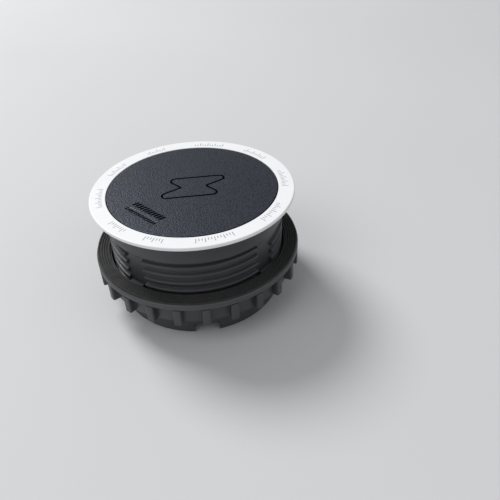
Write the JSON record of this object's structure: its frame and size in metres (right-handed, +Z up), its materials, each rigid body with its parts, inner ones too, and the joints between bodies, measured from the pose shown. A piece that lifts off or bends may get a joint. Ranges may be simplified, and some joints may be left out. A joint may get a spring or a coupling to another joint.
{
  "type": "desk grommet charger",
  "caption": "Round in-desk wireless charging grommet: flush pad and ring over a threaded barrel, clamped under the desk by a washer and a nut.",
  "frame": {"origin": "on the barrel's axis at the top face of the desk, where the flange gasket sits", "axes": "+Z up out of the desk along the barrel's axis; +X to the right and +Y away as seen in the picture"},
  "size_m": [0.093, 0.093, 0.0516],
  "materials": {
    "white_ring": "satin, with fine grey tick marks",
    "pad_leather": "fine pebble grain, matt",
    "black_plastic": "fine spark texture",
    "barrel_plastic": "moulded, fine texture",
    "washer_plastic": "moulded, satin",
    "nut_plastic": "moulded, fine texture",
    "foam_gasket": "closed-cell foam",
    "grip_rubber": "matt",
    "clear_film": "adhesive film",
    "zinc_steel": "zinc plated",
    "copper_litz": "enamelled copper litz",
    "ferrite": "sintered, dull",
    "natural_nylon": "moulded",
    "black_epoxy": "moulded epoxy",
    "tinned_wire": "tinned",
    "green_laminate": "solder mask",
    "capacitor_film": "ceramic",
    "capacitor_can": "drawn can",
    "nickel_steel": "nickel plated",
    "gold_plate": "gold plated",
    "gap_pad": "soft silicone",
    "plain_aluminium": "rolled sheet"
  },
  "bodies": {
    "housing": {"trim_ring": "white_ring", "top_pad": "pad_leather", "charging_plate": "black_plastic", "base_cover": "black_plastic", "housing_barrel": "barrel_plastic", "flange_gasket": "foam_gasket", "ring_adhesive": "clear_film", "pad_adhesive": "clear_film", "plate_screws": "zinc_steel", "coil_winding": "copper_litz", "coil_adhesive": "clear_film", "coil_leads": "copper_litz", "ferrite_shield": "ferrite", "coil_carrier": "natural_nylon", "coil_thermistor": "black_epoxy", "thermistor_leads": "tinned_wire", "circuit_board": "green_laminate", "circuit_screws": "zinc_steel", "controller_chip": "black_epoxy", "power_transistors": "black_epoxy", "resonant_capacitors": "capacitor_film", "filter_inductor": "ferrite", "input_capacitors": "capacitor_can", "inlet_shell": "nickel_steel", "inlet_tongue": "black_epoxy", "inlet_contacts": "gold_plate", "thermal_pad": "gap_pad", "heat_spreader": "plain_aluminium", "cover_screws": "zinc_steel"},
    "washer": {"pressure_washer": "washer_plastic", "washer_grip": "grip_rubber"},
    "nut": {"lock_nut": "nut_plastic"}
  },
  "joints": [
    {"name": "washer_slide", "type": "slide", "parent": "housing", "child": "washer", "axis": [0, 0, 1], "range_m": [-0.007, 0.013]},
    {"name": "nut_turn", "type": "hinge", "parent": "washer", "child": "nut", "pos_m": [0, 0, -0.0335], "axis": [0, 0, 1], "range_deg": [-630, 1170]}
  ],
  "couplings": [
    {"joint": "washer_slide", "follows": "nut_turn", "m_per_rad": 0.00063662}
  ]
}
